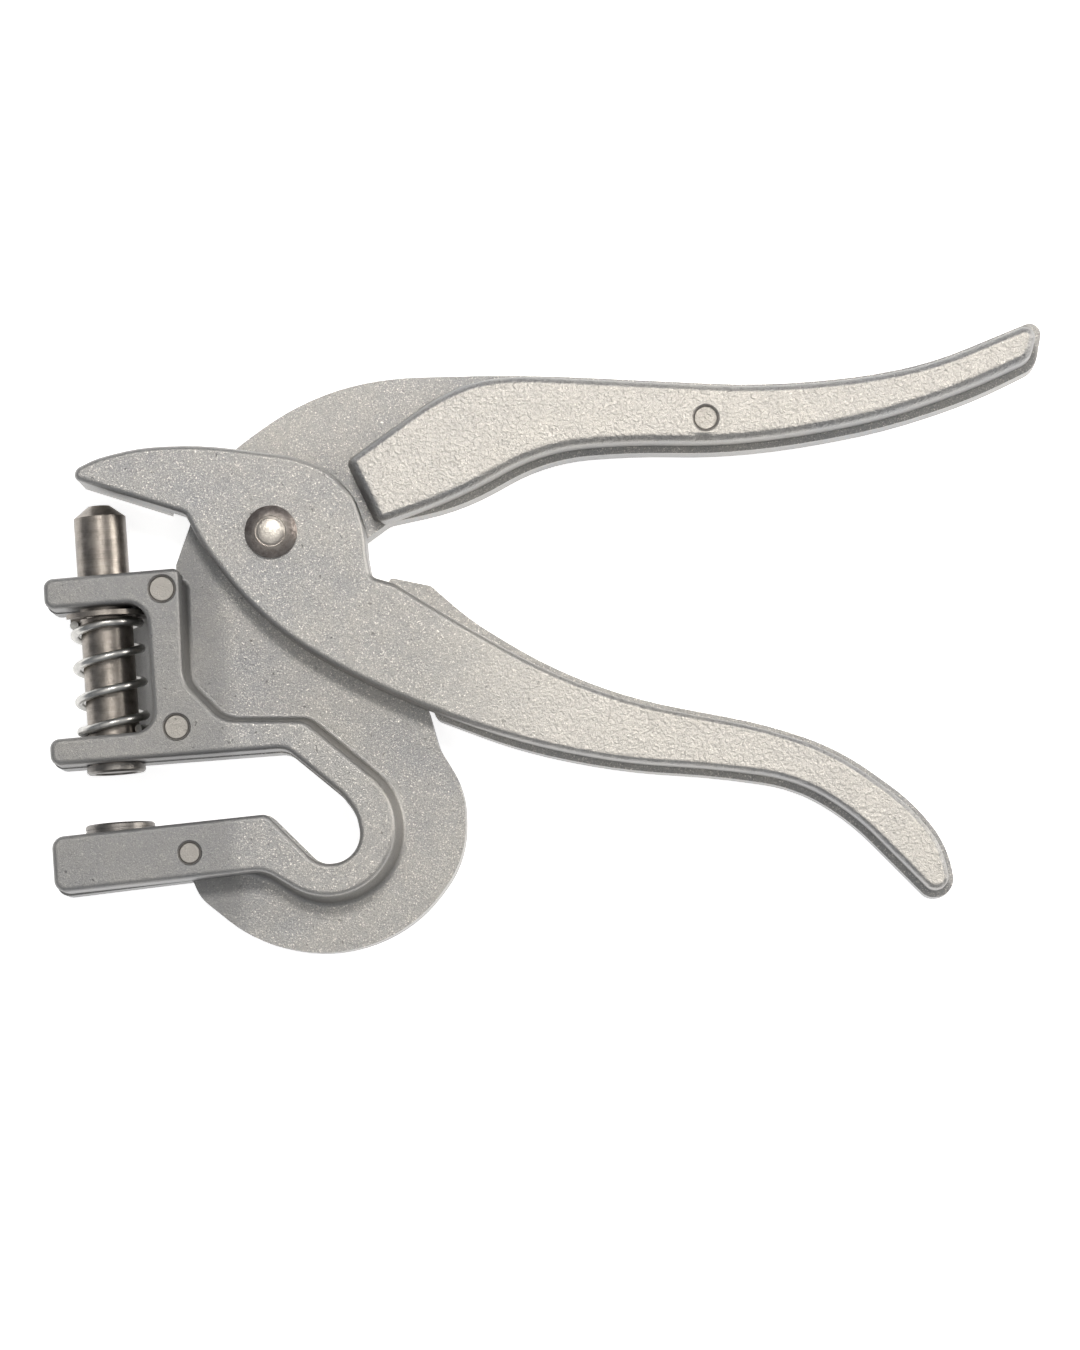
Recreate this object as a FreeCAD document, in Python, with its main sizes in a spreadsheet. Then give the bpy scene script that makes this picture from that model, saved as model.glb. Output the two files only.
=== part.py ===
import FreeCAD, Part
import math
import os
import Sketcher
from FreeCAD import Placement, Rotation, Vector

# Hand press pliers: a die-cast C-frame with a fixed handle, and a die-cast lever that swings on one
# rivet and pushes a sprung plunger down between two dies.
# The tool lies on its back. The origin is the rivet's axis on the rest plane, +X runs along the
# handles, +Y from the jaws towards the beak, and +Z through the casting's thickness.

doc = FreeCAD.newDocument("hand_press_pliers")

SIZES = [
    # castings
    ("thickness", 21.0),            # rest plane to the front faces
    ("parting", 10.3),              # rest plane to the casting's parting line and the web's front
    ("lap_gap", 0.3),               # clearance between the web and the lever's lapped plate
    ("beak_lift", 0.5),             # the beak's back face stands this far off the rest plane
    ("beak_root_radius", 26.4),     # the full-depth beak starts outside this radius
    ("frame_edge_round", 1.3),
    ("pad_edge_round", 2.1),
    ("lever_edge_round", 1.4),
    ("back_edge_round", 0.9),
    ("rib_foot_round", 1.4),
    ("flank_draft", 10.0),          # degrees, on the rib's and the grip step's outer flanks
    ("flank_top", 18.6),            # the drafted flanks run into the straight walls below this
    ("mark_depth", 0.3),            # ejector-pin marks
    # rivet joint: heights are above the rest plane
    ("rivet_radius", 4.0),
    ("rivet_bore_radius", 4.06),
    ("tail_low", 0.2),
    ("tail_bevel", 0.7),
    ("tail_top", 1.2),
    ("tail_face_radius", 4.7),
    ("tail_radius", 5.4),
    ("head_seat", 21.05),
    ("head_rim", 21.95),
    ("head_top", 23.55),
    ("head_radius", 6.35),
    ("ring_mark_radius", 3.6),      # fine turned ring on the head's dome
    ("ring_mark_height", 23.14),
    ("ring_mark_size", 0.25),
    ("washer_radius", 7.0),
    ("washer_height", 1.0),
    ("washer_seat_radius", 7.15),
    ("washer_seat_depth", 2.2),
    # plunger and its bracket: Y of faces, then heights above the plunger's lower end
    ("plunger_x", -42.3),
    ("plunger_z", 10.5),
    ("arm_underside", -14.9),
    ("lower_arm_top", -45.8),
    ("bore_overshoot", 7.5),        # the plunger's bore starts this far below the lower arm's top
    ("bore_span", 47.0),            # length of the cut through both arms
    ("trough_radius", 11.0),
    ("plunger_bottom", -52.85),
    ("plunger_radius", 6.35),
    ("plunger_bore_radius", 6.4),
    ("plunger_length", 63.45),
    ("tip_radius", 2.7),
    ("shoulder", 60.65),
    ("groove_floor_radius", 4.8),
    ("groove_low", 35.9),
    ("groove_high", 37.2),
    # retaining clip
    ("clip_outer_radius", 10.3),
    ("clip_inner_radius", 7.6),
    ("clip_prong_radius", 4.85),
    ("clip_thickness", 1.2),
    ("clip_bottom", -16.9),
    ("clip_prong_width", 4.4),
    ("clip_mouth_width", 9.0),
    # return spring
    ("spring_radius", 7.95),        # axis to the wire's centre
    ("wire_radius", 1.05),
    ("spring_low", -44.70),         # Y of the wire's centre at each end
    ("spring_high", -18.00),
    ("spring_closed_turns", 0.75),
    ("spring_closed_rise", 0.7),
    ("spring_active_turns", 3.1),
    ("spring_first_turn", -0.6),
    # dies and their snap rings: heights are above each die's working face
    ("die_shank_radius", 2.5),
    ("die_bore_radius", 2.56),
    ("die_bore_depth", 10.0),
    ("ring_pocket_low", 5.0),       # above the flange's seat
    ("ring_pocket_high", 5.8),
    ("ring_pocket_radius", 3.05),
    ("ring_groove_radius", 2.05),
    ("snap_ring_outer", 2.95),
    ("snap_ring_inner", 2.1),
    ("snap_ring_height", 0.7),
    ("snap_ring_gap", 1.2),
    ("upper_recess_depth", 0.35),
    ("upper_recess_radius", 5.2),
    ("upper_face_radius", 6.65),
    ("upper_flange_radius", 7.15),
    ("upper_edge", 0.5),
    ("upper_flange_height", 1.95),
    ("upper_groove_low", 6.95),
    ("upper_groove_high", 7.75),
    ("upper_die_length", 10.95),
    ("lower_cup_depth", 0.9),
    ("lower_cup_radius", 4.6),
    ("lower_face_radius", 7.95),
    ("lower_flange_radius", 8.45),
    ("lower_edge", 0.4),
    ("side_groove_radius", 8.2),
    ("side_groove_low", 1.2),
    ("side_groove_high", 1.6),
    ("lower_flange_height", 2.9),
    ("lower_groove_low", 7.9),
    ("lower_groove_high", 8.7),
    ("lower_die_length", 11.9),
    ("lower_die_seat", -70.0),      # Y of the spot face in the jaw
    ("spot_face_radius", 8.8),
    ("spot_face_depth", 3.0),
    ("ring_play", 0.05),            # between a snap ring and its groove's lower side
]

size = dict(SIZES)
sheet = doc.addObject("Spreadsheet::Sheet", "Sizes")
for row, (alias, value) in enumerate(SIZES, start=1):
    sheet.set("A%d" % row, alias)
    sheet.set("B%d" % row, str(value))
    sheet.setAlias("B%d" % row, alias)
doc.recompute()


# ---------------------------------------------------------------- outlines
# A corner is (x, y, radius). SOFT gives the largest arc that its two edges allow, so a run of soft
# corners makes one smooth curve.
SOFT = None

HANDLE_TOP = [
    (5.0, 30.3, SOFT), (18.0, 34.9, SOFT), (31.0, 36.5, SOFT), (62.0, 35.0, SOFT),
    (121.0, 27.6, SOFT), (146.0, 27.9, SOFT), (163.0, 30.1, SOFT), (190.7, 39.2, 2.7),
]
HANDLE_BOTTOM = [
    (187.6, 26.9, 5.5), (172.0, 20.6, SOFT), (150.0, 15.0, SOFT), (126.0, 12.4, SOFT),
    (108.0, 12.0, SOFT), (88.0, 13.9, SOFT), (67.5, 13.7, SOFT), (46.0, 3.7, SOFT),
    (28.0, 1.2, 5.0), (20.5, -3.5, 2.0),
]
WEB_LEFT = [
    (-24.5, -6.7, 0.5), (-24.5, -5.2, 1.2), (-19.2, 7.0, SOFT), (-17.5, 14.5, SOFT), (-9.0, 21.6, SOFT),
]
DISC = [
    (23.2, -13.0, SOFT), (34.4, -45.5, 12.0), (36.3, -54.5, 12.0), (41.9, -65.0, SOFT),
    (41.0, -82.0, SOFT), (27.5, -97.6, SOFT), (8.0, -103.4, SOFT), (-11.2, -98.4, SOFT),
    (-24.0, -86.6, SOFT),
]
BACK_JAW = [(-25.6, -82.2, 0.6), (-58.6, -83.8, 3.0), (-58.6, -69.4, 3.0), (-5.7, -67.7, 2.5)]
BACK_THROAT = [
    (5.8, -80.8, 6.8), (16.6, -80.6, 6.8), (15.4, -69.4, 12.0), (12.2, -64.7, 8.0), (-0.3, -52.8, 5.0),
]
BACK_ARMS = [
    (-57.5, -52.8, 2.6), (-57.5, -45.8, 2.6), (-37.3, -45.8, 0.5), (-37.3, -14.9, 0.5), (-56.5, -14.9, 2.6),
]
BACK_OUTLINE = (
    [(-56.5, -6.9, 2.6)] + WEB_LEFT + HANDLE_TOP + HANDLE_BOTTOM + DISC + BACK_JAW + BACK_THROAT + BACK_ARMS
)

# The hook's outer bend is one arc of 16.5 about (8.5, -72.5), drawn through three corners.
FRAME_OUTLINE = [
    (-56.1, -7.2, 2.3), (-23.0, -6.9, 1.6), (-23.7, -34.4, 8.0), (-15.1, -44.5, 8.0), (4.9, -46.2, 5.0),
    (26.99, -67.25, 16.2), (21.97, -85.97, 16.2), (5.34, -90.42, 16.2), (-7.4, -81.5, 8.0),
    (-58.2, -83.3, 3.0), (-58.2, -69.7, 3.0), (-5.9, -68.0, 2.5), (5.6, -81.1, 7.1), (17.0, -81.0, 7.1),
    (15.8, -69.3, 12.0), (12.4, -64.4, 8.0), (-0.2, -52.5, 5.0), (-57.1, -52.5, 2.3), (-57.1, -46.1, 2.3),
    (-31.5, -45.8, 5.0), (-31.5, -14.6, 5.0), (-56.1, -14.6, 2.3),
]

GRIP_OUTLINE = [
    (26.3, 0.4, 2.0), (19.9, 16.2, 1.5), (40.5, 28.9, SOFT), (51.0, 33.0, SOFT), (62.0, 33.5, SOFT),
    (121.0, 26.1, SOFT), (146.0, 26.4, SOFT), (163.0, 28.6, SOFT), (189.0, 37.3, 2.5), (186.2, 28.0, 5.0),
    (171.6, 22.5, SOFT), (149.7, 16.6, SOFT), (126.0, 14.0, SOFT), (108.2, 13.6, SOFT),
    (87.9, 15.5, SOFT), (67.0, 15.3, SOFT), (45.4, 5.4, SOFT),
]

# Feet of the drafted flanks on the web. Their inner sides lie inside the straight walls.
RIB_FOOT = [
    (-22.1, -8.6, 1.8), (-22.8, -34.1, 8.0), (-14.8, -43.6, 8.0), (5.4, -45.1, 5.0), (28.45, -66.84, 17.4),
    (23.03, -87.03, 17.4), (5.09, -91.83, 17.4), (-6.9, -82.9, 6.0), (-14.0, -80.6, 1.8),
    (-14.0, -75.0, 1.8),
    (-8.0, -75.0, 4.0), (4.5, -85.3, 4.0), (18.5, -81.5, 4.0), (21.0, -70.0, 4.0), (16.0, -62.0, 4.0),
    (2.5, -49.2, 4.0), (-13.0, -48.5, 4.0), (-27.6, -38.0, 4.0), (-27.6, -10.5, 1.8),
]
GRIP_FOOT = [
    (25.1, 0.5, 1.8), (18.7, 17.0, 1.9), (40.0, 30.0, 12.0), (49.0, 33.6, 3.0), (57.0, 31.0, 1.8),
    (32.0, 12.0, 1.8), (30.5, 4.0, 1.8),
]

BEAK_TOP = [
    (-47.0, 16.6, 1.45), (-46.4, 19.1, 1.9), (-41.5, 21.2, SOFT), (-31.0, 23.1, SOFT),
    (-16.0, 22.7, SOFT),
]
BEAK_HEEL = (-20.6, 6.1, 2.0)
LEVER_OUTLINE = BEAK_TOP + [
    (6.5, 18.1, 18.0), (14.6, 14.4, 14.0), (20.4, 7.6, 10.0), (22.6, -0.5, SOFT),
    (22.7, -7.0, 8.0), (23.3, -12.6, 2.5), (28.8, -14.6, 5.0),
    (46.0, -26.9, SOFT), (63.1, -38.2, SOFT), (83.3, -47.8, SOFT), (115.6, -56.4, SOFT),
    (132.2, -63.6, SOFT), (148.3, -77.1, SOFT), (155.7, -87.7, SOFT), (157.0, -98.1, 3.0),
    (152.2, -98.1, 3.0), (135.2, -78.2, SOFT), (122.0, -69.0, SOFT), (103.2, -64.9, SOFT),
    (80.2, -61.8, SOFT), (56.5, -55.1, SOFT), (36.0, -46.3, SOFT), (18.0, -36.8, SOFT),
    (3.5, -27.0, SOFT), (-7.5, -16.3, SOFT), (-17.2, -1.8, SOFT), BEAK_HEEL,
]
BEAK_OUTLINE = BEAK_TOP + [(5.5, 17.6, 0.5), BEAK_HEEL]
LEVER_GRIP_OUTLINE = [
    (26.6, -12.0, 1.0), (37.2, -15.0, 1.5), (46.0, -24.0, SOFT), (64.0, -36.9, SOFT), (84.0, -46.3, SOFT),
    (116.0, -54.9, SOFT), (133.0, -62.2, SOFT), (149.5, -76.0, SOFT), (157.2, -87.2, SOFT),
    (158.6, -99.7, 4.5), (151.4, -99.6, 4.0), (134.0, -79.3, SOFT), (121.5, -70.6, SOFT),
    (103.0, -66.4, SOFT), (80.0, -63.3, SOFT), (56.0, -56.6, SOFT), (36.2, -47.4, 2.0),
]

# Ejector-pin marks: (x, y, radius)
FRAME_MARKS = [(-27.4, -11.7, 3.2), (-26.1, -45.4, 3.1), (-25.0, -76.0, 2.7)]
GRIP_MARKS = [(106.9, 19.6, 3.0)]


def trims(corners):
    """How far each corner's arc reaches back along its two edges, and that arc's turn."""
    result = []
    count = len(corners)
    for i, (x, y, radius) in enumerate(corners):
        here = Vector(x, y, 0)
        back = Vector(*corners[i - 1][:2], 0) - here
        ahead = Vector(*corners[(i + 1) % count][:2], 0) - here
        turn = math.pi - back.getAngle(ahead)
        if radius is SOFT:
            reach = 0.5 * min(back.Length, ahead.Length)
        else:
            reach = radius * math.tan(turn / 2)
        result.append((here, back.normalize(), ahead.normalize(), reach, turn))
    return result


def rounded_edges(corners):
    """Lines and tangent arcs, in order, round a closed outline."""
    found = trims(corners)
    edges = []
    for i, (here, back, ahead, reach, turn) in enumerate(found):
        start = here + back * reach
        end = here + ahead * reach
        radius = reach / math.tan(turn / 2)
        middle = here + (back + ahead).normalize() * (radius / math.cos(turn / 2) - radius)
        edges.append(Part.Arc(start, middle, end))
        next_here, next_back, _, next_reach, _ = found[(i + 1) % len(found)]
        following = next_here + next_back * next_reach
        if (following - end).Length > 0.001:
            edges.append(Part.LineSegment(end, following))
    return edges


def inset(corners, depth):
    """The outline moved inwards, for one drawn clockwise."""
    moved = []
    for i, (x, y, radius) in enumerate(corners):
        here = Vector(x, y, 0)
        arriving = (here - Vector(*corners[i - 1][:2], 0)).normalize()
        leaving = (Vector(*corners[(i + 1) % len(corners)][:2], 0) - here).normalize()
        inwards = Vector(arriving.y + leaving.y, -arriving.x - leaving.x, 0).normalize()
        bend = arriving.x * leaving.y - arriving.y * leaving.x
        shift = depth / math.sqrt((1 + arriving.dot(leaving)) / 2)
        spot = here + inwards * shift
        moved.append((spot.x, spot.y, radius + math.copysign(depth, bend)))
    return moved


# ---------------------------------------------------------------- building blocks
def new_body(label):
    """An empty body of the assembly, named after its piece."""
    body = doc.addObject("PartDesign::Body", label)
    body.Label = label
    return body


def new_sketch(body, name, plane="XY_Plane"):
    """A sketch on one of the body's origin planes."""
    sketch = body.newObject("Sketcher::SketchObject", name)
    origin_plane = [f for f in body.Origin.OriginFeatures if f.Role == plane][0]
    sketch.AttachmentSupport = [(origin_plane, "")]
    sketch.MapMode = "FlatFace"
    return sketch


def raise_sketch(sketch, height):
    """Lift a sketch off its plane by a sheet expression."""
    sketch.setExpression(".AttachmentOffset.Base.z", height)


def outline_sketch(body, name, corners, height=None):
    """A closed outline of straight edges and corner arcs, raised to a height."""
    sketch = new_sketch(body, name)
    edges = rounded_edges(corners)
    sketch.addGeometry(edges, False)
    count = len(edges)
    joints = []
    for i in range(count):
        meeting = (*ends(i, edges), *starts((i + 1) % count, edges))
        joints.append(Sketcher.Constraint("Coincident", *meeting))
    sketch.addConstraint(joints)
    if height:
        raise_sketch(sketch, height)
    doc.recompute()
    return sketch


def starts(index, edges):
    """The sketch vertex where this edge begins, going round the outline."""
    return index, (1 if runs_forward(edges[index]) else 2)


def ends(index, edges):
    """The sketch vertex where this edge ends, going round the outline."""
    return index, (2 if runs_forward(edges[index]) else 1)


def runs_forward(edge):
    """An arc keeps its ends in counter-clockwise order, so a clockwise one is stored backwards."""
    return not isinstance(edge, Part.Arc) or edge.toShape().Curve.Axis.z > 0


def pad(body, name, sketch, length):
    """Raises an outline into solid by a length from the sheet."""
    feature = body.newObject("PartDesign::Pad", name)
    feature.Profile = sketch
    feature.setExpression("Length", length)
    doc.recompute()
    return feature


def circle_sketch(body, name, circles, height=None):
    """Circles (x, y, radius or alias of the radius)."""
    sketch = new_sketch(body, name)
    for index, (x, y, radius) in enumerate(circles):
        value = size[radius] if isinstance(radius, str) else radius
        sketch.addGeometry(Part.Circle(Vector(x, y, 0), Vector(0, 0, 1), value), False)
        which = sketch.addConstraint(Sketcher.Constraint("Radius", index, value))
        if isinstance(radius, str):
            sketch.setExpression("Constraints[%d]" % which, "Sizes." + radius)
        if x == 0 and y == 0:
            sketch.addConstraint(Sketcher.Constraint("Coincident", index, 3, -1, 1))
        else:
            sketch.addConstraint(Sketcher.Constraint("DistanceX", -1, 1, index, 3, x))
            sketch.addConstraint(Sketcher.Constraint("DistanceY", -1, 1, index, 3, y))
    if height:
        raise_sketch(sketch, height)
    return sketch


def pocket(body, name, sketch, length, reverse=False):
    """Cut along -Z, or along +Z when reversed, and make sure that something was cut."""
    before = body.Shape.Volume
    feature = body.newObject("PartDesign::Pocket", name)
    feature.Profile = sketch
    feature.Reversed = reverse
    feature.setExpression("Length", length)
    doc.recompute()
    must_shrink(body, before, name)
    return feature


def must_shrink(body, before, name):
    """Stops the build if a cut took nothing away."""
    if body.Shape.Volume > before - 0.5:
        raise RuntimeError(name + " cut nothing")


def turned_cut(body, name, radius, low, span):
    """Bore along Y on the plunger's axis, from Y = low upwards."""
    before = body.Shape.Volume
    sketch = new_sketch(body, name + "_profile")
    sketch.setExpression(".AttachmentOffset.Base.x", "Sizes.plunger_x")
    sketch.setExpression(".AttachmentOffset.Base.y", low)
    raise_sketch(sketch, "Sizes.plunger_z")
    rectangle(sketch, size[radius], "Sizes." + radius, span)
    groove = body.newObject("PartDesign::Groove", name)
    groove.Profile = sketch
    groove.ReferenceAxis = (sketch, ["V_Axis"])
    groove.Angle = 360
    doc.recompute()
    must_shrink(body, before, name)
    return groove


def rectangle(sketch, width, width_expression, height_expression):
    """Rectangle with one corner on the sketch's origin."""
    guess = 5.0
    corners = [Vector(0, 0, 0), Vector(width, 0, 0), Vector(width, guess, 0), Vector(0, guess, 0)]
    closed_polygon(sketch, corners)
    sketch.addConstraint(Sketcher.Constraint("Coincident", 0, 1, -1, 1))
    sketch.addConstraint(Sketcher.Constraint("Horizontal", 0))
    sketch.addConstraint(Sketcher.Constraint("Horizontal", 2))
    sketch.addConstraint(Sketcher.Constraint("Vertical", 1))
    sketch.addConstraint(Sketcher.Constraint("Vertical", 3))
    wide = sketch.addConstraint(Sketcher.Constraint("DistanceX", 0, 1, 0, 2, width))
    high = sketch.addConstraint(Sketcher.Constraint("DistanceY", 1, 1, 1, 2, guess))
    sketch.setExpression("Constraints[%d]" % wide, width_expression)
    sketch.setExpression("Constraints[%d]" % high, height_expression)


def closed_polygon(sketch, corners):
    """Straight edges through the corners, joined end to end."""
    count = len(corners)
    for i in range(count):
        sketch.addGeometry(Part.LineSegment(corners[i], corners[(i + 1) % count]), False)
    for i in range(count):
        sketch.addConstraint(Sketcher.Constraint("Coincident", i, 2, (i + 1) % count, 1))


def turned_profile(body, name, points):
    """Closed half profile in XZ: each point is (radius, height), an alias or 0 each."""
    sketch = new_sketch(body, name, "XZ_Plane")
    values = [Vector(size.get(r, 0.0), size.get(z, 0.0), 0) for r, z in points]
    closed_polygon(sketch, values)
    for i, point in enumerate(points):
        for kind, alias in zip(("DistanceX", "DistanceY"), point):
            pin_vertex(sketch, i, kind, alias)
    doc.recompute()
    return sketch


def pin_vertex(sketch, index, kind, alias):
    """Tie one vertex's distance from the origin to its cell, or put it on the axis or base line."""
    if alias == 0:
        line = -2 if kind == "DistanceX" else -1
        sketch.addConstraint(Sketcher.Constraint("PointOnObject", index, 1, line))
        return
    which = sketch.addConstraint(Sketcher.Constraint(kind, -1, 1, index, 1, size[alias]))
    sketch.setExpression("Constraints[%d]" % which, "Sizes." + alias)


def revolve(body, name, sketch):
    """Turns a profile once round the sketch's upright axis."""
    feature = body.newObject("PartDesign::Revolution", name)
    feature.Profile = sketch
    feature.ReferenceAxis = (sketch, ["V_Axis"])
    feature.Angle = 360
    doc.recompute()
    return feature


def stand_on_axis(piece, bottom, upwards=True):
    """Put a piece made along its own Z on the plunger's axis, with its base at Y = bottom."""
    piece.Placement = Placement(Vector(0, 0, 0), Rotation(Vector(1, 0, 0), -90 if upwards else 90))
    piece.setExpression(".Placement.Base.x", "Sizes.plunger_x")
    piece.setExpression(".Placement.Base.y", bottom)
    piece.setExpression(".Placement.Base.z", "Sizes.plunger_z")


def round_edges(body, name, edges, radius):
    """Fillets named edges of the body's last feature."""
    solid = body.Tip
    feature = body.newObject("PartDesign::Fillet", name)
    feature.Base = (solid, edges)
    feature.setExpression("Radius", radius)
    doc.recompute()
    return feature


def edges_at(body, height, accept):
    """Names of the edges that lie flat at one height and whose middle passes a test."""
    names = []
    for number, edge in enumerate(body.Shape.Edges, start=1):
        box = edge.BoundBox
        if abs(box.ZMin - height) < 0.01 and abs(box.ZMax - height) < 0.01 and accept(box.Center):
            names.append("Edge%d" % number)
    return names


def in_grip(point):
    """True right of the frame's rib, where the fixed handle's front pad is."""
    return point.x > 18 and point.y > 0


# ---------------------------------------------------------------- pieces
def make_frame_casting():
    """C-frame, web and fixed handle in one casting."""
    body = new_body("frame_casting")
    pad(body, "back_half", outline_sketch(body, "back_outline", BACK_OUTLINE), "Sizes.parting")
    front = "Sizes.thickness - Sizes.parting"
    c_frame = outline_sketch(body, "c_frame_outline", FRAME_OUTLINE, "Sizes.parting")
    pad(body, "c_frame_front", c_frame, front)
    grip = outline_sketch(body, "grip_outline", GRIP_OUTLINE, "Sizes.parting")
    pad(body, "grip_front", grip, front)
    top = size["thickness"]
    rim = edges_at(body, top, lambda point: not in_grip(point))
    round_edges(body, "frame_edges", rim, "Sizes.frame_edge_round")
    round_edges(body, "grip_edges", edges_at(body, top, in_grip), "Sizes.pad_edge_round")
    round_edges(body, "back_edges", edges_at(body, 0.0, back_rim), "Sizes.back_edge_round")
    drafted_flank(body, "rib_flank", RIB_FOOT)
    drafted_flank(body, "grip_flank", GRIP_FOOT)
    round_edges(body, "rib_feet", rib_feet(body), "Sizes.rib_foot_round")
    bore_frame(body)
    marks = circle_sketch(body, "mark_circles", FRAME_MARKS + GRIP_MARKS, "Sizes.thickness")
    pocket(body, "ejector_marks", marks, "Sizes.mark_depth")
    return body


def bore_frame(body):
    """The bracket's trough and plunger bore, the lower die's seat, and the rivet's bore."""
    span = "Sizes.arm_underside - Sizes.lower_arm_top"
    turned_cut(body, "trough", "trough_radius", "Sizes.lower_arm_top", span)
    lowest = "Sizes.lower_arm_top - Sizes.bore_overshoot"
    turned_cut(body, "plunger_bore", "plunger_bore_radius", lowest, "Sizes.bore_span")
    seat = "Sizes.lower_die_seat"
    depth = "Sizes.die_bore_depth"
    turned_cut(body, "spot_face", "spot_face_radius", seat, "Sizes.spot_face_depth")
    turned_cut(body, "die_bore", "die_bore_radius", seat + " - " + depth, depth)
    ring_floor = seat + " - Sizes.ring_pocket_high"
    ring_span = "Sizes.ring_pocket_high - Sizes.ring_pocket_low"
    turned_cut(body, "ring_pocket", "ring_pocket_radius", ring_floor, ring_span)
    bore = circle_sketch(body, "bore_circle", [(0, 0, "rivet_bore_radius")])
    pocket(body, "rivet_bore", bore, "Sizes.parting", True)
    seat_circle = circle_sketch(body, "washer_circle", [(0, 0, "washer_seat_radius")])
    pocket(body, "washer_seat", seat_circle, "Sizes.washer_seat_depth", True)


def back_rim(point):
    """The back's outer rim, without the bracket's thin wall."""
    return not (-37.5 < point.x < -36.0 and -46.5 < point.y < -13.0)


def drafted_flank(body, name, foot):
    """A skirt on the web that leans in by the draft up to the front face."""
    depth = (size["flank_top"] - size["parting"]) * math.tan(math.radians(size["flank_draft"]))
    feature = body.newObject("PartDesign::AdditiveLoft", name)
    feature.Profile = outline_sketch(body, name + "_foot", foot, "Sizes.parting")
    feature.Sections = [outline_sketch(body, name + "_top", inset(foot, depth), "Sizes.flank_top")]
    feature.Ruled = True
    doc.recompute()


def rib_feet(body):
    """Names of the edges where the rib's drafted flank meets the web."""
    feet = []
    for face in body.Shape.Faces:
        lean = abs(face.normalAt(*middle_of(face)).z)
        on_rib = face.BoundBox.Center.y < -5 and abs(face.BoundBox.ZMin - size["parting"]) < 0.01
        if on_rib and 0.02 < lean < 0.5:
            feet += [e for e in face.Edges if abs(e.BoundBox.ZMax - size["parting"]) < 0.01]
    return ["Edge%d" % n for n, e in enumerate(body.Shape.Edges, start=1) if any(e.isSame(f) for f in feet)]


def middle_of(face):
    """A point near the middle of a face."""
    u_low, u_high, v_low, v_high = face.ParameterRange
    return (u_low + u_high) / 2, (v_low + v_high) / 2


def make_lever_casting():
    """Lapped plate with the beak and the moving handle."""
    body = new_body("lever_casting")
    plate_back = "Sizes.parting + Sizes.lap_gap"
    plate = outline_sketch(body, "plate_outline", LEVER_OUTLINE, plate_back)
    pad(body, "plate", plate, "Sizes.thickness - Sizes.parting - Sizes.lap_gap")
    pad(body, "grip_back", outline_sketch(body, "grip_back_outline", LEVER_GRIP_OUTLINE), plate_back)
    beak = outline_sketch(body, "beak_outline", BEAK_OUTLINE, "Sizes.beak_lift")
    pad(body, "beak_back", beak, "Sizes.parting + Sizes.lap_gap - Sizes.beak_lift")
    clear = circle_sketch(body, "root_circle", [(0, 0, "beak_root_radius")])
    pocket(body, "beak_root", clear, plate_back, True)
    front_rim = edges_at(body, size["thickness"], lambda point: True)
    round_edges(body, "front_edges", front_rim, "Sizes.lever_edge_round")
    lower_rim = edges_at(body, 0.0, lambda point: True)
    round_edges(body, "back_edges", lower_rim, "Sizes.back_edge_round")
    bore = circle_sketch(body, "bore_circle", [(0, 0, "rivet_bore_radius")])
    pocket(body, "rivet_bore", bore, "Sizes.thickness", True)
    return body


def make_rivet():
    """Pivot rivet: domed head in front, shank, and the tail that is peened over its washer."""
    body = new_body("pivot_rivet")
    points = [
        (0, "tail_low"), ("tail_face_radius", "tail_low"), ("tail_radius", "tail_bevel"),
        ("tail_radius", "tail_top"), ("rivet_radius", "tail_top"),
        ("rivet_radius", "head_seat"), ("head_radius", "head_seat"),
        ("head_radius", "head_rim"),
    ]
    sketch = new_sketch(body, "rivet_profile", "XZ_Plane")
    values = [Vector(size.get(r, 0.0), size.get(z, 0.0), 0) for r, z in points]
    crown = Vector(0, size["head_top"], 0)
    rise = size["head_top"] - size["head_rim"]
    dome_radius = (size["head_radius"] ** 2 + rise ** 2) / (2 * rise)
    centre = Vector(0, size["head_top"] - dome_radius, 0)
    start = math.atan2(values[-1].y - centre.y, values[-1].x)
    for first, second in zip(values, values[1:]):
        sketch.addGeometry(Part.LineSegment(first, second), False)
    dome = Part.ArcOfCircle(Part.Circle(centre, Vector(0, 0, 1), dome_radius), start, math.pi / 2)
    sketch.addGeometry(dome, False)
    sketch.addGeometry(Part.LineSegment(crown, values[0]), False)
    last = len(values) - 1
    for i in range(last - 1):
        sketch.addConstraint(Sketcher.Constraint("Coincident", i, 2, i + 1, 1))
    sketch.addConstraint(Sketcher.Constraint("Coincident", last - 1, 2, last, 1))
    sketch.addConstraint(Sketcher.Constraint("Coincident", last, 2, last + 1, 1))
    sketch.addConstraint(Sketcher.Constraint("Coincident", last + 1, 2, 0, 1))
    sketch.addConstraint(Sketcher.Constraint("PointOnObject", last, 3, -2))
    for i, point in enumerate(points):
        for kind, alias in zip(("DistanceX", "DistanceY"), point):
            pin_vertex(sketch, i, kind, alias)
    pin_vertex(sketch, last + 1, "DistanceX", 0)
    pin_vertex(sketch, last + 1, "DistanceY", "head_top")
    doc.recompute()
    revolve(body, "rivet_solid", sketch)
    cut_ring_mark(body)
    return body


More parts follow.
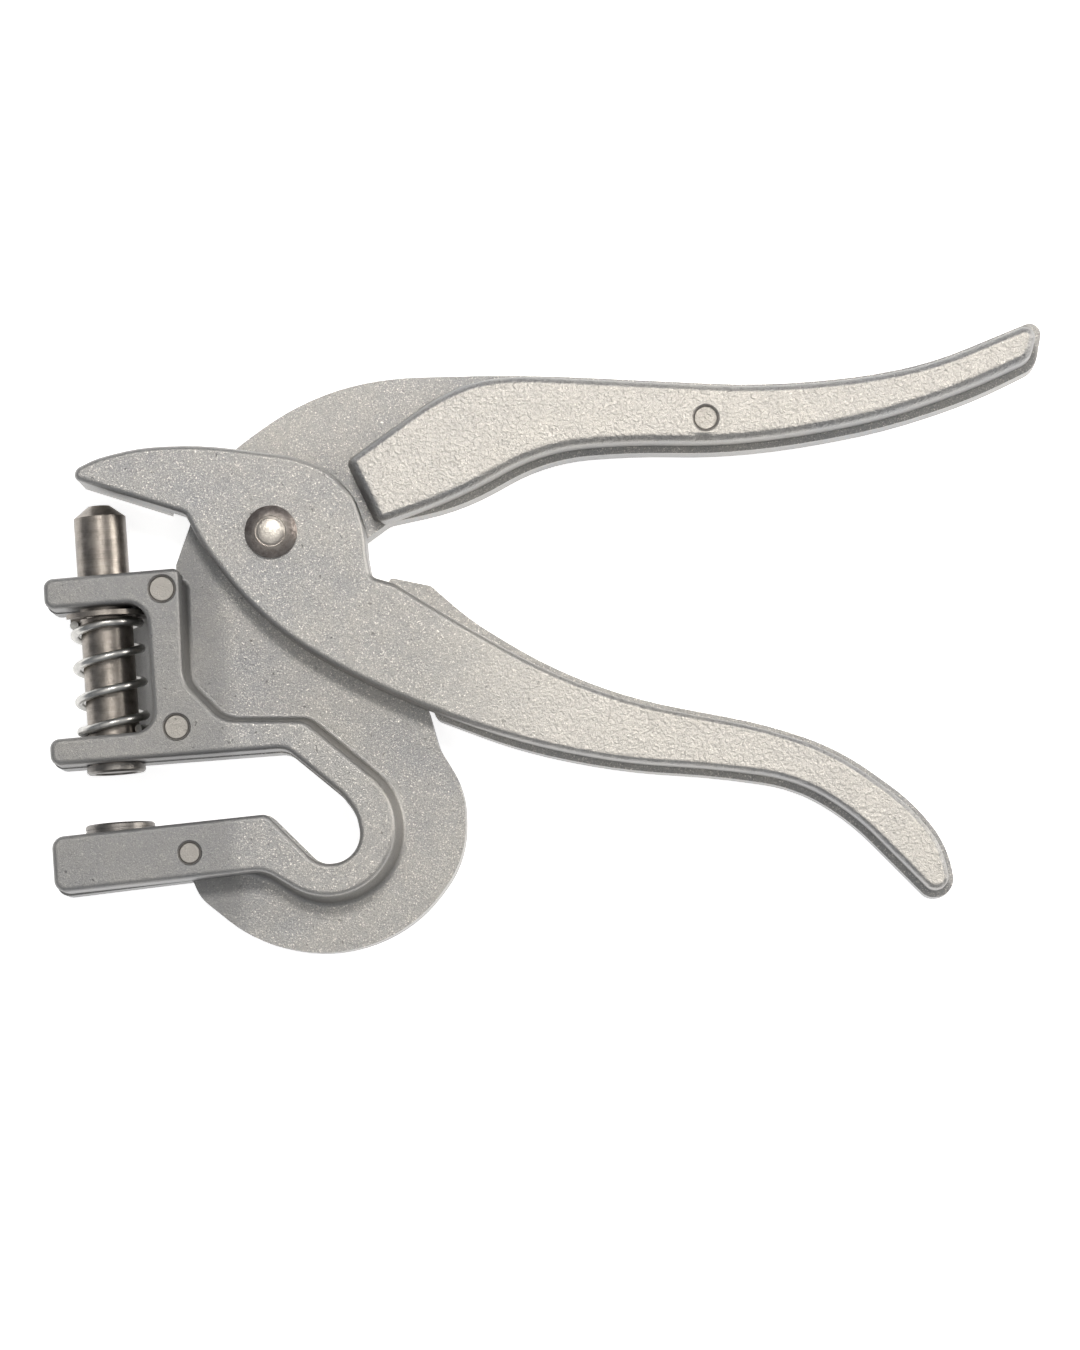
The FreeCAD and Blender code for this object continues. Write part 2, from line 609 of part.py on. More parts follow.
def cut_ring_mark(body):
    """The fine ring that the riveting tool leaves on the head."""
    ring = new_sketch(body, "ring_mark_profile", "XZ_Plane")
    spot = Vector(size["ring_mark_radius"], size["ring_mark_height"], 0)
    ring.addGeometry(Part.Circle(spot, Vector(0, 0, 1), size["ring_mark_size"]), False)
    for kind, alias in (("DistanceX", "ring_mark_radius"), ("DistanceY", "ring_mark_height")):
        which = ring.addConstraint(Sketcher.Constraint(kind, -1, 1, 0, 3, size[alias]))
        ring.setExpression("Constraints[%d]" % which, "Sizes." + alias)
    ring.addConstraint(Sketcher.Constraint("Radius", 0, size["ring_mark_size"]))
    before = body.Shape.Volume
    groove = body.newObject("PartDesign::Groove", "ring_mark")
    groove.Profile = ring
    groove.ReferenceAxis = (ring, ["V_Axis"])
    groove.Angle = 360
    doc.recompute()
    must_shrink(body, before, "ring_mark")


def cylinder(name, radius, height):
    """Upright cylinder about the Z axis."""
    item = doc.addObject("Part::Cylinder", name)
    item.setExpression("Radius", radius)
    item.setExpression("Height", height)
    return item


def block(name, length, width, height, base_x, base_y):
    """Box whose corner lies at (base_x, base_y, 0)."""
    item = doc.addObject("Part::Box", name)
    for prop, expression in zip(("Length", "Width", "Height"), (length, width, height)):
        item.setExpression(prop, expression)
    item.setExpression(".Placement.Base.x", base_x)
    item.setExpression(".Placement.Base.y", base_y)
    return item


def cut(name, base, tool):
    """The base less the tool."""
    item = doc.addObject("Part::Cut", name)
    item.Base = base
    item.Tool = tool
    return item


def make_rivet_washer():
    """Steel washer between the rivet's peened tail and the soft casting."""
    disc = cylinder("washer_disc", "Sizes.washer_radius", "Sizes.washer_height")
    hole = cylinder("washer_hole", "Sizes.rivet_bore_radius", "Sizes.washer_height")
    washer = cut("rivet_washer", disc, hole)
    washer.setExpression(".Placement.Base.z", "Sizes.washer_seat_depth - Sizes.washer_height")
    return washer


def make_plunger():
    """Turned pin with a chamfered tip, the clip's groove, and a bore for the upper die."""
    body = new_body("plunger")
    points = [
        ("die_bore_radius", 0), ("die_bore_radius", "ring_pocket_low"),
        ("ring_pocket_radius", "ring_pocket_low"), ("ring_pocket_radius", "ring_pocket_high"),
        ("die_bore_radius", "ring_pocket_high"),
        ("die_bore_radius", "die_bore_depth"), (0, "die_bore_depth"), (0, "plunger_length"),
        ("tip_radius", "plunger_length"), ("plunger_radius", "shoulder"), ("plunger_radius", "groove_high"),
        ("groove_floor_radius", "groove_high"), ("groove_floor_radius", "groove_low"),
        ("plunger_radius", "groove_low"), ("plunger_radius", 0),
    ]
    revolve(body, "plunger_solid", turned_profile(body, "plunger_profile", points))
    stand_on_axis(body, "Sizes.plunger_bottom")
    return body


def make_retaining_clip():
    """E-clip in the plunger's groove: a flat ring with three prongs, open towards -X."""
    thick = "Sizes.clip_thickness"
    ring = cut(
        "clip_ring",
        cylinder("clip_disc", "Sizes.clip_outer_radius", thick),
        cylinder("clip_inside", "Sizes.clip_inner_radius", thick),
    )
    reach = "Sizes.clip_inner_radius + 1"
    width = "Sizes.clip_prong_width"
    prongs = [
        block("clip_prong_right", reach, width, thick, "0", "-Sizes.clip_prong_width / 2"),
        block("clip_prong_front", width, reach, thick, "-Sizes.clip_prong_width / 2", "0"),
        block("clip_prong_back", width, reach, thick, "-Sizes.clip_prong_width / 2", "-(%s)" % reach),
    ]
    spider = doc.addObject("Part::MultiFuse", "clip_spider")
    spider.Shapes = [ring] + prongs
    seated = cut("clip_seated", spider, cylinder("clip_groove_hole", "Sizes.clip_prong_radius", thick))
    mouth = block(
        "clip_mouth", "Sizes.clip_outer_radius", "Sizes.clip_mouth_width", thick,
        "-Sizes.clip_outer_radius", "-Sizes.clip_mouth_width / 2",
    )
    clip = cut("retaining_clip", seated, mouth)
    stand_on_axis(clip, "Sizes.clip_bottom")
    return clip


COIL_STEPS = 80      # points that the wire's centre line runs through
COIL_SPANS = 10      # edges that the centre line is divided into for the sweep


def make_spring():
    """Compression spring with three quarters of a closed turn at each end, wound about +Y."""
    radius = size["spring_radius"]
    rise = size["spring_high"] - size["spring_low"]
    closed = size["spring_closed_turns"]
    active = size["spring_active_turns"]
    end_rise = size["spring_closed_rise"]
    turns = active + 2 * closed
    points = []
    for step in range(COIL_STEPS + 1):
        turn = turns * step / COIL_STEPS
        ground = (min(turn, closed) + max(turn - closed - active, 0.0)) / closed
        inner = min(max(turn - closed, 0.0), active) / active
        angle = 2 * math.pi * (turn + size["spring_first_turn"])
        height = end_rise * ground + (rise - 2 * end_rise) * inner
        points.append(Vector(-radius * math.cos(angle), height, radius * math.sin(angle)))
    path = Part.BSplineCurve()
    path.interpolate(points)
    start = path.tangent(path.FirstParameter)[0]
    wire = Part.Wire([Part.Circle(points[0], start, size["wire_radius"]).toShape()])
    knots = [path.LastParameter * span / COIL_SPANS for span in range(COIL_SPANS + 1)]
    lengths = [path.toShape(*limits) for limits in zip(knots, knots[1:])]
    coil = Part.Wire(lengths).makePipeShell([wire], True, True)
    spring = doc.addObject("Part::Feature", "return_spring")
    spring.Shape = Part.Solid(coil) if coil.ShapeType == "Shell" else coil
    foot = Vector(size["plunger_x"], size["spring_low"], size["plunger_z"])
    spring.Placement = Placement(foot, Rotation())
    return spring


def make_upper_die():
    """Flanged die whose shank snaps into the plunger."""
    body = new_body("upper_die")
    points = [
        (0, "upper_recess_depth"), ("upper_recess_radius", "upper_recess_depth"),
        ("upper_recess_radius", 0), ("upper_face_radius", 0), ("upper_flange_radius", "upper_edge"),
        ("upper_flange_radius", "upper_flange_height"), ("die_shank_radius", "upper_flange_height"),
        ("die_shank_radius", "upper_groove_low"), ("ring_groove_radius", "upper_groove_low"),
        ("ring_groove_radius", "upper_groove_high"), ("die_shank_radius", "upper_groove_high"),
        ("die_shank_radius", "upper_die_length"), (0, "upper_die_length"),
    ]
    revolve(body, "upper_die_solid", turned_profile(body, "upper_die_profile", points))
    stand_on_axis(body, "Sizes.plunger_bottom - Sizes.upper_flange_height")
    return body


def make_lower_die():
    """Cupped die with a grooved flange, whose shank snaps into the lower jaw."""
    body = new_body("lower_die")
    points = [
        (0, "lower_cup_depth"), ("lower_cup_radius", "lower_cup_depth"), ("lower_cup_radius", 0),
        ("lower_face_radius", 0), ("lower_flange_radius", "lower_edge"),
        ("lower_flange_radius", "side_groove_low"),
        ("side_groove_radius", "side_groove_low"), ("side_groove_radius", "side_groove_high"),
        ("lower_flange_radius", "side_groove_high"), ("lower_flange_radius", "lower_flange_height"),
        ("die_shank_radius", "lower_flange_height"), ("die_shank_radius", "lower_groove_low"),
        ("ring_groove_radius", "lower_groove_low"), ("ring_groove_radius", "lower_groove_high"),
        ("die_shank_radius", "lower_groove_high"), ("die_shank_radius", "lower_die_length"),
        (0, "lower_die_length"),
    ]
    revolve(body, "lower_die_solid", turned_profile(body, "lower_die_profile", points))
    stand_on_axis(body, "Sizes.lower_die_seat + Sizes.lower_flange_height", upwards=False)
    return body


def make_snap_ring(label, bottom):
    """Split wire ring that holds a die's shank in its bore."""
    tall = "Sizes.snap_ring_height"
    ring = cut(
        label + "_ring", cylinder(label + "_disc", "Sizes.snap_ring_outer", tall),
        cylinder(label + "_hole", "Sizes.snap_ring_inner", tall),
    )
    gap = block(
        label + "_gap", "Sizes.snap_ring_outer", "Sizes.snap_ring_gap", tall,
        "-Sizes.snap_ring_outer", "-Sizes.snap_ring_gap / 2",
    )
    snap = cut(label, ring, gap)
    stand_on_axis(snap, bottom)
    return snap


PIECES = [
    make_frame_casting(),
    make_lever_casting(),
    make_rivet(),
    make_rivet_washer(),
    make_plunger(),
    make_retaining_clip(),
    make_spring(),
    make_upper_die(),
    make_snap_ring("upper_die_ring", "Sizes.plunger_bottom + Sizes.ring_pocket_low + Sizes.ring_play"),
    make_lower_die(),
    make_snap_ring("lower_die_ring", "Sizes.lower_die_seat - Sizes.ring_pocket_high + Sizes.ring_play"),
]
doc.recompute()


def check(pieces):
    """Stops the build if a feature failed or a piece has no valid shape."""
    for item in doc.Objects:
        if "Invalid" in item.State or "Error" in item.State:
            raise RuntimeError("%s is %s" % (item.Name, item.State))
    for piece in pieces:
        if piece.Shape.isNull() or not piece.Shape.isValid():
            raise RuntimeError(piece.Label + " has no valid shape")


check(PIECES)
os.makedirs("parts", exist_ok=True)
for piece in PIECES:
    piece.Shape.exportStep("parts/%s.step" % piece.Label)
    print(piece.Label, len(piece.Shape.Solids), round(piece.Shape.Volume), piece.Shape.BoundBox)
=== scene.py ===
"""Hand press pliers of cast aluminium, lying on a pale floor and seen from above."""

import math

import bpy
from mathutils import Matrix, Vector


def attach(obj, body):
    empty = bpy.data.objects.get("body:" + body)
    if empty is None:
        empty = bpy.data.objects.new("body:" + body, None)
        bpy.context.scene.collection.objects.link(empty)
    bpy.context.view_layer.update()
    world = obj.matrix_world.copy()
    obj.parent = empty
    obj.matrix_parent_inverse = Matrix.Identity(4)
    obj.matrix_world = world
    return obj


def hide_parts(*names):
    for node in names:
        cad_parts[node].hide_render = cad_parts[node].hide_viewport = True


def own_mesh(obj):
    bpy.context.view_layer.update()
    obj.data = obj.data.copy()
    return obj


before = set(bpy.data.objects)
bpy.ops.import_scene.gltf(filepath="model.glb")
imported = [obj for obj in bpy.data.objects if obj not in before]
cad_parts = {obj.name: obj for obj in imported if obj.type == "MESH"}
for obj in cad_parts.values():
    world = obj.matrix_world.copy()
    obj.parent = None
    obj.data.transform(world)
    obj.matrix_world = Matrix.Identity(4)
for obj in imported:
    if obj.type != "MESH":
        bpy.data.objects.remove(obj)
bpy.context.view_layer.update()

MM = 0.001
PLUNGER_X = -42.3 * MM
PLUNGER_Z = 10.5 * MM
PARTING_Z = 10.3 * MM

# ejector-pin marks on the castings' faces, and the ring on the rivet's head: x, y and radius in mm
FRAME_MARKS = [(-27.4, -11.7, 3.2), (-26.1, -45.4, 3.1), (-25.0, -76.0, 2.7)]
GRIP_MARKS = [(106.9, 19.6, 3.0)]
RIVET_RING = 3.3

# the return spring, in mm: Y of the wire's centre at each end, and its winding in turns
SPRING_LOW = -44.70
SPRING_HIGH = -18.00
SPRING_RADIUS = 7.95
WIRE_RADIUS = 1.05
CLOSED_TURNS = 0.75
CLOSED_RISE = 0.7
ACTIVE_TURNS = 3.1
FIRST_TURN = -0.6
RINGS_PER_TURN = 64
WIRE_SIDES = 20


# ---------------------------------------------------------------- node helpers


class Nodes:
    """A small builder for one material's node tree, in the frame's coordinates."""

    def __init__(self, name):
        self.material = bpy.data.materials.new(name)
        self.material.use_nodes = True
        self.tree = self.material.node_tree
        self.tree.nodes.clear()
        self.output = self.add("ShaderNodeOutputMaterial")
        self.shader = self.add("ShaderNodeBsdfPrincipled")
        self.link(self.shader.outputs["BSDF"], self.output.inputs["Surface"])
        self.place = self.add("ShaderNodeTexCoord").outputs["Object"]

    def add(self, kind):
        return self.tree.nodes.new(kind)

    def link(self, source, target):
        self.tree.links.new(source, target)

    def put(self, value, socket):
        """A number, colour or other node's output, given to an input."""
        if isinstance(value, bpy.types.NodeSocket):
            self.link(value, socket)
        else:
            socket.default_value = value

    def math(self, operation, *values, clamp=False):
        node = self.add("ShaderNodeMath")
        node.operation = operation
        node.use_clamp = clamp
        for value, socket in zip(values, node.inputs):
            self.put(value, socket)
        return node.outputs[0]

    def ramp(self, value, low, high, to_low=0.0, to_high=1.0):
        """value from low..high eased to to_low..to_high."""
        node = self.add("ShaderNodeMapRange")
        node.interpolation_type = "SMOOTHSTEP"
        self.put(value, node.inputs["Value"])
        for key, number in (("From Min", low), ("From Max", high), ("To Min", to_low), ("To Max", to_high)):
            node.inputs[key].default_value = number
        return node.outputs["Result"]

    def mix(self, factor, a, b):
        node = self.add("ShaderNodeMix")
        node.data_type = "RGBA"
        node.clamp_factor = True
        self.put(factor, node.inputs["Factor"])
        self.put(colour(a), node.inputs["A"])
        self.put(colour(b), node.inputs["B"])
        return node.outputs["Result"]

    def stretched(self, x, y, z):
        node = self.add("ShaderNodeMapping")
        node.inputs["Scale"].default_value = (x, y, z)
        self.link(self.place, node.inputs["Vector"])
        return node.outputs["Vector"]

    def noise(self, size_mm, detail=2.0, rough=0.5, place=None, distortion=0.0):
        """Noise whose blotches are about size_mm across."""
        node = self.add("ShaderNodeTexNoise")
        self.link(place or self.place, node.inputs["Vector"])
        node.inputs["Scale"].default_value = 1 / (size_mm * MM)
        node.inputs["Detail"].default_value = detail
        node.inputs["Roughness"].default_value = rough
        node.inputs["Distortion"].default_value = distortion
        return node.outputs["Fac"]

    def cells(self, size_mm, output="Distance", feature="F1"):
        node = self.add("ShaderNodeTexVoronoi")
        node.feature = feature
        self.link(self.place, node.inputs["Vector"])
        node.inputs["Scale"].default_value = 1 / (size_mm * MM)
        return node.outputs[output]

    def axis(self, letter, source=None):
        node = self.add("ShaderNodeSeparateXYZ")
        self.link(source or self.place, node.inputs[0])
        return node.outputs[letter]

    def distance(self, x_mm=0.0, y_mm=0.0):
        """How far a point lies from an upright line at x, y."""
        offset = self.add("ShaderNodeVectorMath")
        offset.operation = "SUBTRACT"
        self.link(self.stretched(1, 1, 0), offset.inputs[0])
        offset.inputs[1].default_value = (x_mm * MM, y_mm * MM, 0)
        length = self.add("ShaderNodeVectorMath")
        length.operation = "LENGTH"
        self.link(offset.outputs[0], length.inputs[0])
        return length.outputs["Value"]

    def near(self, value, middle, half, full):
        """1 within full of the middle, fading to 0 at half."""
        return self.ramp(self.math("ABSOLUTE", self.math("SUBTRACT", value, middle)), half, full)

    def facing(self, letter):
        """How far the surface itself points along an axis, -1 to 1."""
        return self.axis(letter, self.add("ShaderNodeNewGeometry").outputs["Normal"])

    def bump(self, height, distance_mm, under=None):
        node = self.add("ShaderNodeBump")
        node.inputs["Distance"].default_value = distance_mm * MM
        self.put(height, node.inputs["Height"])
        if under is not None:
            self.link(under, node.inputs["Normal"])
        return node.outputs["Normal"]

    def finish(self, base, roughness, normal=None, metallic=1.0):
        self.put(colour(base), self.shader.inputs["Base Color"])
        self.put(roughness, self.shader.inputs["Roughness"])
        self.shader.inputs["Metallic"].default_value = metallic
        if normal is not None:
            self.link(normal, self.shader.inputs["Normal"])
        return self.material


def colour(value):
    return (*value, 1.0) if isinstance(value, tuple) and len(value) == 3 else value


# ------------------------------------------------------------------- materials


def ejector_marks(n, marks):
    """Masks of the round ejector-pin marks: their discs and their thin sunk rims, where the rims carry
    painted shade.
    """
    discs = 0.0
    sunk_rim_shades = 0.0
    for x, y, radius in marks:
        away = n.distance(x, y)
        disc = n.ramp(away, (radius + 0.05) * MM, (radius - 0.25) * MM)
        sunk_rim_shade = n.near(away, radius * MM, 0.42 * MM, 0.1 * MM)
        discs = n.math("MAXIMUM", discs, disc)
        sunk_rim_shades = n.math("MAXIMUM", sunk_rim_shades, sunk_rim_shade)
    face = n.ramp(n.axis("Z"), 19.6 * MM, 20.2 * MM)
    return n.math("MULTIPLY", discs, face), n.math("MULTIPLY", sunk_rim_shades, face)



def cast_aluminium(name, grip_start, grip_blend, grip_low, jaw_end, marks):
    """Satin die-cast metal: grain with painted glints on faces that face up, rough skin on the grips,
    duller jaws, a parting line.

    The grip's skin comes in over grip_blend from x = grip_start, above y = grip_low; the jaws lie
    left of x = jaw_end.
    """
    n = Nodes(name)
    x, y, z = n.axis("X"), n.axis("Y"), n.axis("Z")
    flat = n.ramp(n.math("ABSOLUTE", n.facing("Z")), 0.93, 0.995)
    high = n.ramp(z, 16.0 * MM, 20.4 * MM)
    grip = n.math("MULTIPLY", n.ramp(x, grip_start, grip_start + grip_blend), high)
    grip = n.math("MULTIPLY", grip, n.ramp(y, grip_low - 2 * MM, grip_low + 2 * MM))
    jaw = n.ramp(x, jaw_end + 3 * MM, jaw_end - 3 * MM)

    grain = n.noise(0.40, 3.0, 0.65)
    crystals = n.axis("X", n.cells(0.24, "Color"))
    mottle = n.noise(5.5, 4.0, 0.6)
    cloud = n.noise(34.0, 2.0, 0.5)
    peel = n.noise(0.85, 2.0, 0.45, distortion=0.5)
    disc, sunk_rim_shade = ejector_marks(n, marks)
    pits = n.ramp(n.noise(1.7, 2.0, 0.5), 0.70, 0.78)

    warm, cool = (0.49, 0.47, 0.435), (0.36, 0.36, 0.364)
    tone = n.math("ADD", n.ramp(mottle, 0.3, 0.7, 0.0, 0.30), n.ramp(cloud, 0.35, 0.65, 0.0, 0.45))
    base = n.mix(tone, cool, warm)
    base = n.mix(n.ramp(grain, 0.50, 0.30, 0.0, 0.55), base, (0.20, 0.198, 0.195))
    # painted glints: light specks on the crystal grains, strongest on faces that point up, standing in for
    # reflected sparkle
    painted_glint = n.math("MULTIPLY", n.ramp(crystals, 0.55, 1.0), n.ramp(grain, 0.42, 0.66))
    painted_glint = n.math("MULTIPLY", painted_glint, n.math("MULTIPLY_ADD", flat, 0.88, 0.10))
    painted_glint = n.math("MULTIPLY", painted_glint, n.math("MULTIPLY_ADD", jaw, -0.45, 1.0))
    base = n.mix(painted_glint, base, (0.90, 0.86, 0.79))
    base = n.mix(n.math("MULTIPLY", n.math("MULTIPLY", grip, flat), 0.55), base, (0.95, 0.90, 0.82))
    base = n.mix(n.math("MULTIPLY", jaw, 0.45), base, (0.26, 0.259, 0.258))
    base = n.mix(n.math("MULTIPLY", pits, 0.35), base, (0.2, 0.19, 0.18))
    base = n.mix(n.math("MULTIPLY", disc, 0.5), base, (0.56, 0.52, 0.46))
    # painted shade: each ejector mark's thin sunk rim darkened as the shade inside its groove
    base = n.mix(n.math("MULTIPLY", sunk_rim_shade, 0.75), base, (0.12, 0.11, 0.10))

    rough = n.math("MULTIPLY_ADD", grain, 0.26, 0.30)
    rough = n.math("MULTIPLY_ADD", jaw, 0.05, rough)
    rough = n.math("MULTIPLY_ADD", painted_glint, -0.14, rough)

    seam = n.near(z, PARTING_Z, 0.45 * MM, 0.1 * MM)
    seam = n.math("MULTIPLY", seam, n.ramp(n.math("ABSOLUTE", n.facing("Z")), 0.5, 0.2))
    height = n.math("MULTIPLY_ADD", grain, 0.10, n.math("MULTIPLY", seam, 0.12))
    height = n.math("MULTIPLY_ADD", crystals, n.math("MULTIPLY_ADD", flat, 0.032, 0.004), height)
    height = n.math("MULTIPLY_ADD", pits, -0.10, height)
    height = n.math("MULTIPLY_ADD", n.math("MULTIPLY", peel, grip), 0.32, height)
    height = n.math("MULTIPLY_ADD", mottle, 0.15, height)
    height = n.math("MULTIPLY_ADD", sunk_rim_shade, -0.22, height)
    return n.finish(base, rough, n.bump(height, 1.0), metallic=0.75)


def turned_steel(name, tone, dark, along="Y", mill=0.34, line_mm=0.22):
    """Steel off the lathe: fine rings round its axis, faint stains and rubbed patches."""
    n = Nodes(name)
    squeeze = {"X": (1, 0.02, 0.02), "Y": (0.02, 1, 0.02), "Z": (0.02, 0.02, 1)}[along]
    rings = n.noise(line_mm, 3.0, 0.7, place=n.stretched(*squeeze))
    stain = n.noise(3.4, 4.0, 0.62)
    scuff = n.noise(0.55, 3.0, 0.7)
    base = n.mix(n.ramp(stain, 0.32, 0.68), dark, tone)
    base = n.mix(n.math("MULTIPLY", n.ramp(rings, 0.52, 0.72), 0.35), base, tuple(c * 1.35 for c in tone))
    rough = n.math("MULTIPLY_ADD", scuff, 0.16, mill - 0.08)
    rough = n.math("MULTIPLY_ADD", stain, 0.10, rough)
    height = n.math("MULTIPLY_ADD", rings, 0.035, n.math("MULTIPLY", scuff, 0.02))
    return n.finish(base, rough, n.bump(height, 1.0))


def drawn_wire(name, tone):
    """Bright drawn spring wire with fine die lines and grey smudges."""
    n = Nodes(name)
    smudge = n.noise(2.2, 3.0, 0.6)
    fine = n.noise(0.3, 2.0, 0.6)
    base = n.mix(n.ramp(smudge, 0.3, 0.7), tuple(c * 0.72 for c in tone), tone)
    rough = n.math("MULTIPLY_ADD", fine, 0.12, 0.24)
    return n.finish(base, rough, n.bump(fine, 0.02))


def rivet_steel(name):
    """A peened head: warm grey-brown, with rings left by the snap tool and a painted highlight on its
    crown.
    """
    n = Nodes(name)
    radius = n.distance()
    ring = n.near(radius, RIVET_RING * MM, 0.34 * MM, 0.06 * MM)
    crown_highlight = n.ramp(radius, 5.4 * MM, 1.2 * MM)
    stain = n.noise(1.8, 4.0, 0.62)
    fine = n.noise(0.35, 3.0, 0.65)
    base = n.mix(n.ramp(stain, 0.3, 0.7), (0.21, 0.18, 0.165), (0.34, 0.305, 0.28))
    # painted highlight: the dome lightened towards the middle of its crown
    base = n.mix(n.math("MULTIPLY", crown_highlight, 0.75), base, (0.74, 0.70, 0.63))
    rough = n.math("MULTIPLY_ADD", fine, 0.16, 0.26)
    height = n.math("MULTIPLY_ADD", fine, 0.05, n.math("MULTIPLY", stain, 0.12))
    height = n.math("MULTIPLY_ADD", ring, -0.05, height)
    return n.finish(base, rough, n.bump(height, 1.0))


ALL_MARKS = FRAME_MARKS + GRIP_MARKS
CAST_FRAME = cast_aluminium("cast_frame_metal", 12 * MM, 6 * MM, -6 * MM, -14 * MM, ALL_MARKS)
CAST_LEVER = cast_aluminium("cast_lever_metal", 30 * MM, 45 * MM, -120 * MM, -90 * MM, [])
FINISHES = {
    "frame_casting": CAST_FRAME,
    "lever_casting": CAST_LEVER,
    "pivot_rivet": rivet_steel("rivet_metal"),
    "rivet_washer": turned_steel("washer_metal", (0.42, 0.40, 0.37), (0.28, 0.26, 0.24), "Z"),
    "plunger": turned_steel("plunger_metal", (0.36, 0.325, 0.29), (0.22, 0.20, 0.18), mill=0.30),
    "retaining_clip": turned_steel("clip_metal", (0.34, 0.31, 0.28), (0.22, 0.20, 0.18), mill=0.38),
    "upper_die": turned_steel("upper_die_metal", (0.30, 0.285, 0.265), (0.19, 0.18, 0.17)),
    "lower_die": turned_steel("lower_die_metal", (0.32, 0.30, 0.28), (0.20, 0.19, 0.18)),
    "upper_die_ring": drawn_wire("upper_ring_metal", (0.30, 0.29, 0.28)),
    "lower_die_ring": drawn_wire("lower_ring_metal", (0.30, 0.29, 0.28)),
}
for node, material in FINISHES.items():
    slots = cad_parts[node].data.materials
    slots.clear()
    slots.append(material)


# ---------------------------------------------------------------------- spring


def coil_centre(turn):
    """The wire's centre after so many turns from its lower end."""
    inner = min(max(turn - CLOSED_TURNS, 0.0), ACTIVE_TURNS) / ACTIVE_TURNS
    ground = (min(turn, CLOSED_TURNS) + max(turn - CLOSED_TURNS - ACTIVE_TURNS, 0.0)) / CLOSED_TURNS
    height = CLOSED_RISE * ground + (SPRING_HIGH - SPRING_LOW - 2 * CLOSED_RISE) * inner
    angle = 2 * math.pi * (turn + FIRST_TURN)
    x = PLUNGER_X - SPRING_RADIUS * MM * math.cos(angle)
    z = PLUNGER_Z + SPRING_RADIUS * MM * math.sin(angle)
    return Vector((x, (SPRING_LOW + height) * MM, z))


def spring_wire():
    """Vertices and faces of a round wire wound about +Y, with closed ends."""
    turns = ACTIVE_TURNS + 2 * CLOSED_TURNS
    steps = round(RINGS_PER_TURN * turns)
    sides = WIRE_SIDES
    centres = [coil_centre(turns * step / steps) for step in range(steps + 1)]
    verts = []
    faces = []
    for step, here in enumerate(centres):
        run = (centres[min(step + 1, steps)] - centres[max(step - 1, 0)]).normalized()
        out = Vector((here.x - PLUNGER_X, 0, here.z - PLUNGER_Z)).normalized()
        up = run.cross(out).normalized()
        out = up.cross(run)
        for side in range(sides):
            angle = 2 * math.pi * side / sides
            verts.append(here + WIRE_RADIUS * MM * (out * math.cos(angle) + up * math.sin(angle)))
    for step in range(steps):
        for side in range(sides):
            a, b = step * sides + side, step * sides + (side + 1) % sides
            faces.append((a, b, b + sides, a + sides))
    faces.append(tuple(range(sides)))
    faces.append(tuple(reversed(range(steps * sides, (steps + 1) * sides))))
    return verts, faces


def new_piece(name, verts, faces, material):
    mesh = bpy.data.meshes.new(name)
    mesh.from_pydata(verts, [], faces)
    mesh.validate()
    mesh.update()
    for polygon in mesh.polygons:
        polygon.use_smooth = len(polygon.vertices) <= 4
    mesh.materials.append(material)
    piece = bpy.data.objects.new(name, mesh)
    bpy.context.scene.collection.objects.link(piece)
    return piece


coil = new_piece("coil_spring", *spring_wire(), drawn_wire("spring_metal", (0.66, 0.65, 0.62)))
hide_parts("return_spring")
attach(coil, "frame")
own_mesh(coil)


# ---------------------------------------------------- floor, lights and camera


def floor():
    mesh = bpy.data.meshes.new("floor")
    half = 6.0
    corners = [(-half, -half, 0), (half, -half, 0), (half, half, 0), (-half, half, 0)]
    mesh.from_pydata(corners, [], [(0, 1, 2, 3)])
    plane = bpy.data.objects.new("floor", mesh)
    plane.location.z = -0.0002
    n = Nodes("floor_paper")
    n.finish((0.93, 0.93, 0.93), 0.9, metallic=0.0)
    n.shader.inputs["Specular IOR Level"].default_value = 0.1
    n.shader.inputs["Emission Color"].default_value = (1, 1, 1, 1)
    n.shader.inputs["Emission Strength"].default_value = 0.74
    mesh.materials.append(n.material)
    bpy.context.scene.collection.objects.link(plane)


def softbox(name, place, target, size, power, tint=(1, 1, 1)):
    light = bpy.data.lights.new(name, "AREA")
    light.shape = "RECTANGLE"
    light.size, light.size_y = size
    light.energy = power
    light.color = tint
    lamp = bpy.data.objects.new(name, light)
    lamp.location = place
    lamp.rotation_euler = (Vector(target) - Vector(place)).to_track_quat("-Z", "Y").to_euler()
    bpy.context.scene.collection.objects.link(lamp)


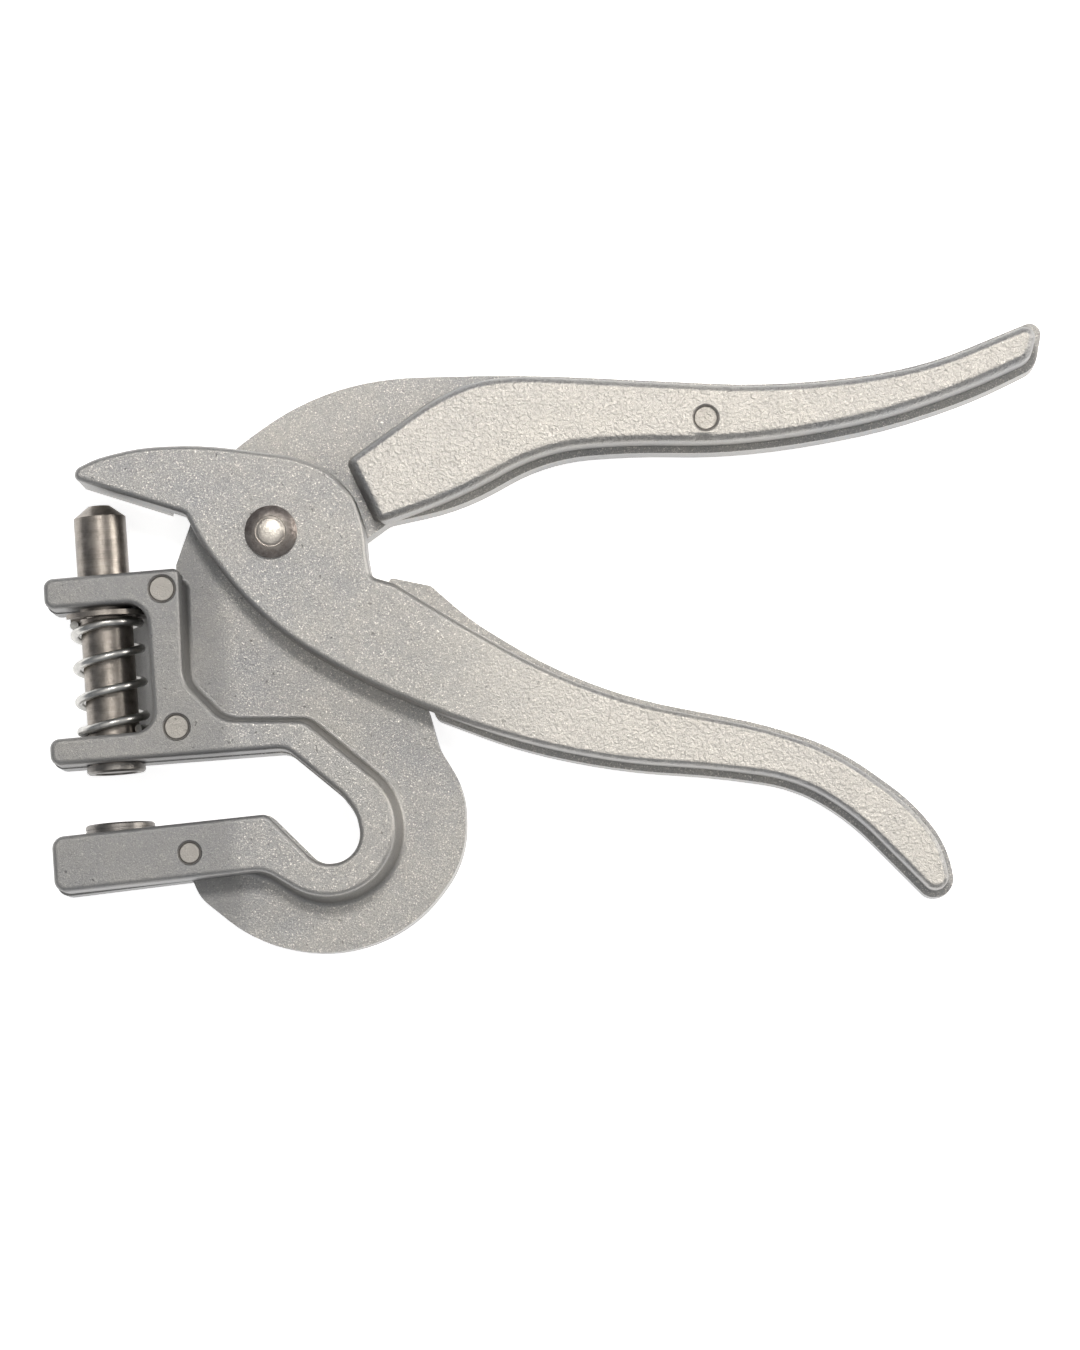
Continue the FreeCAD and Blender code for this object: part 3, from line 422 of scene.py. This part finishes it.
def surroundings():
    """A studio that is bright overhead and greyer and cooler towards the horizon."""
    world = bpy.data.worlds.new("studio")
    world.use_nodes = True
    tree = world.node_tree
    background = tree.nodes["Background"]
    place = tree.nodes.new("ShaderNodeTexCoord")
    split = tree.nodes.new("ShaderNodeSeparateXYZ")
    ramp = tree.nodes.new("ShaderNodeValToRGB")
    tree.links.new(place.outputs["Generated"], split.inputs[0])
    tree.links.new(split.outputs["Z"], ramp.inputs["Fac"])
    tree.links.new(ramp.outputs["Color"], background.inputs["Color"])
    steps = ramp.color_ramp.elements
    steps[0].position, steps[0].color = 0.0, (0.34, 0.36, 0.40, 1)
    steps[1].position, steps[1].color = 1.0, (0.95, 0.94, 0.92, 1)
    middle = steps.new(0.6)
    middle.color = (0.50, 0.515, 0.54, 1)
    background.inputs["Strength"].default_value = 0.52
    bpy.context.scene.world = world


CAMERA_PLACE = (0.10411, -0.15936, 1.46133)
CAMERA_RIGHT = (0.99670, -0.07319, -0.03498)
CAMERA_LOOK = (-0.02887, 0.08286, -0.99614)


def photo_camera():
    """The photograph's viewpoint: nearly straight above, from far away."""
    data = bpy.data.cameras.new("camera")
    data.lens = 160.0
    data.sensor_width = 36.0
    data.sensor_fit = "AUTO"
    data.clip_start = 0.01
    data.clip_end = 50.0
    camera = bpy.data.objects.new("camera", data)
    right = Vector(CAMERA_RIGHT).normalized()
    look = Vector(CAMERA_LOOK).normalized()
    up = right.cross(look).normalized()
    right = look.cross(up)
    turn = Matrix((right, up, -look)).transposed().to_4x4()
    camera.matrix_world = Matrix.Translation(CAMERA_PLACE) @ turn
    bpy.context.scene.collection.objects.link(camera)
    bpy.context.scene.camera = camera


MIDDLE = (0.06, -0.03, 0.01)
floor()
surroundings()
softbox("key", (0.10, 0.62, 1.62), MIDDLE, (0.30, 0.30), 9.0, (1.0, 0.97, 0.93))
softbox("overhead", (-0.15, -0.25, 1.95), MIDDLE, (1.5, 1.5), 3.2, (1.0, 0.99, 0.98))
softbox("side", (1.25, 0.30, 0.55), MIDDLE, (0.55, 0.55), 9.0, (1.0, 0.96, 0.90))
photo_camera()
bpy.context.scene.view_settings.view_transform = "Standard"
